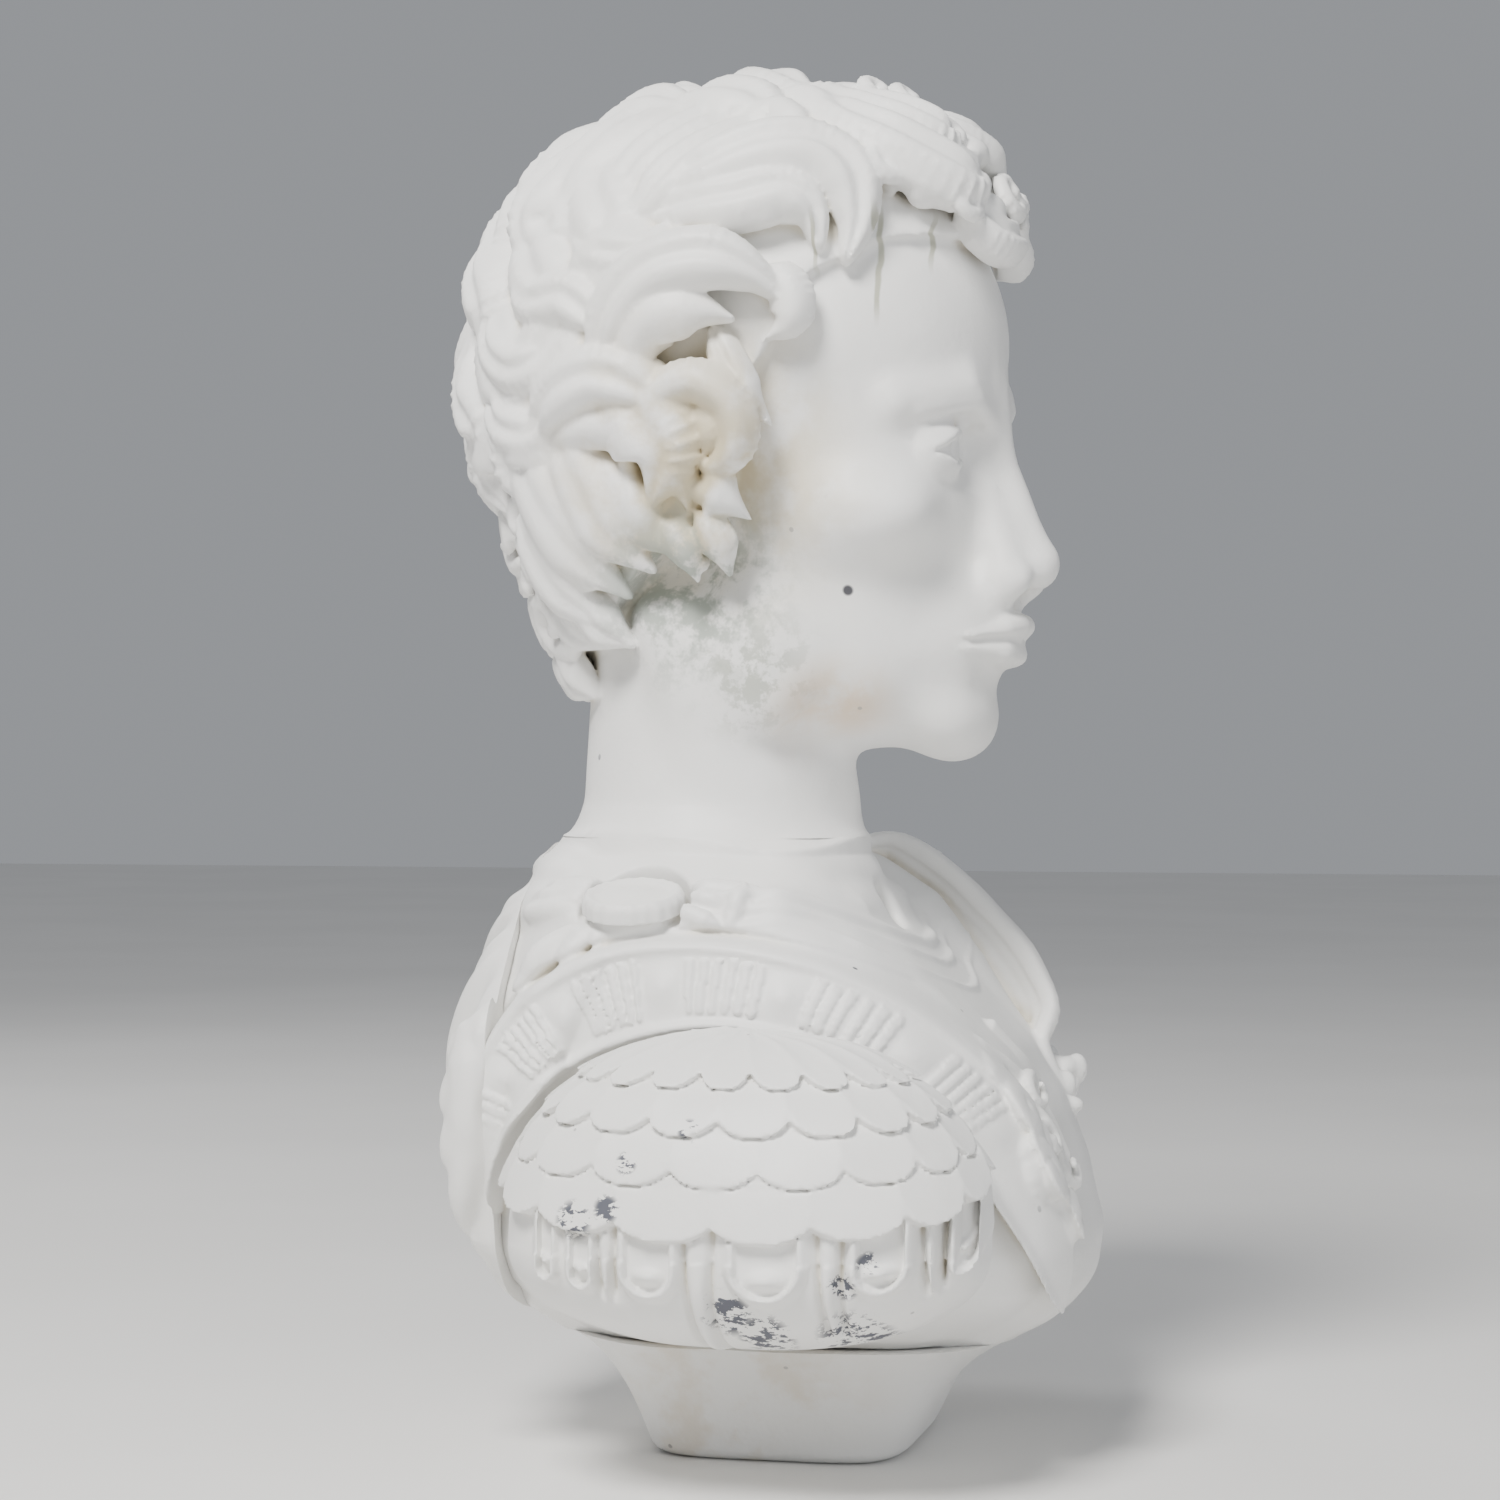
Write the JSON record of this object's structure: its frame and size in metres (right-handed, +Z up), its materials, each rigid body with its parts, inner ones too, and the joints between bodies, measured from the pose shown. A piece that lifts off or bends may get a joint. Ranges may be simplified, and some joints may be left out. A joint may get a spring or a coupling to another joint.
{
  "type": "marble bust",
  "caption": "Life-size head of a curly-haired man on a cut bust with a scaled shoulder guard, draped cloak and round brooch, standing on its own small foot.",
  "frame": {"origin": "middle of the foot block's resting face", "axes": "+Z up, the chest and face look along -Y, the sitter's right shoulder with the brooch is on -X"},
  "size_m": [0.3174, 0.2465, 0.506],
  "materials": {
    "marble": "satin",
    "dowel_iron": "matte",
    "pin_brass": "satin"
  },
  "bodies": {
    "root": {"foot_block": "marble", "foot_dowels": "dowel_iron", "torso": "marble", "right_shoulder": "marble", "left_shoulder": "marble", "shoulder_dowels": "dowel_iron", "cloak_back": "marble", "cloak_brooch": "marble", "brooch_pin": "pin_brass", "head": "marble", "neck_dowel": "dowel_iron"}
  },
  "joints": []
}
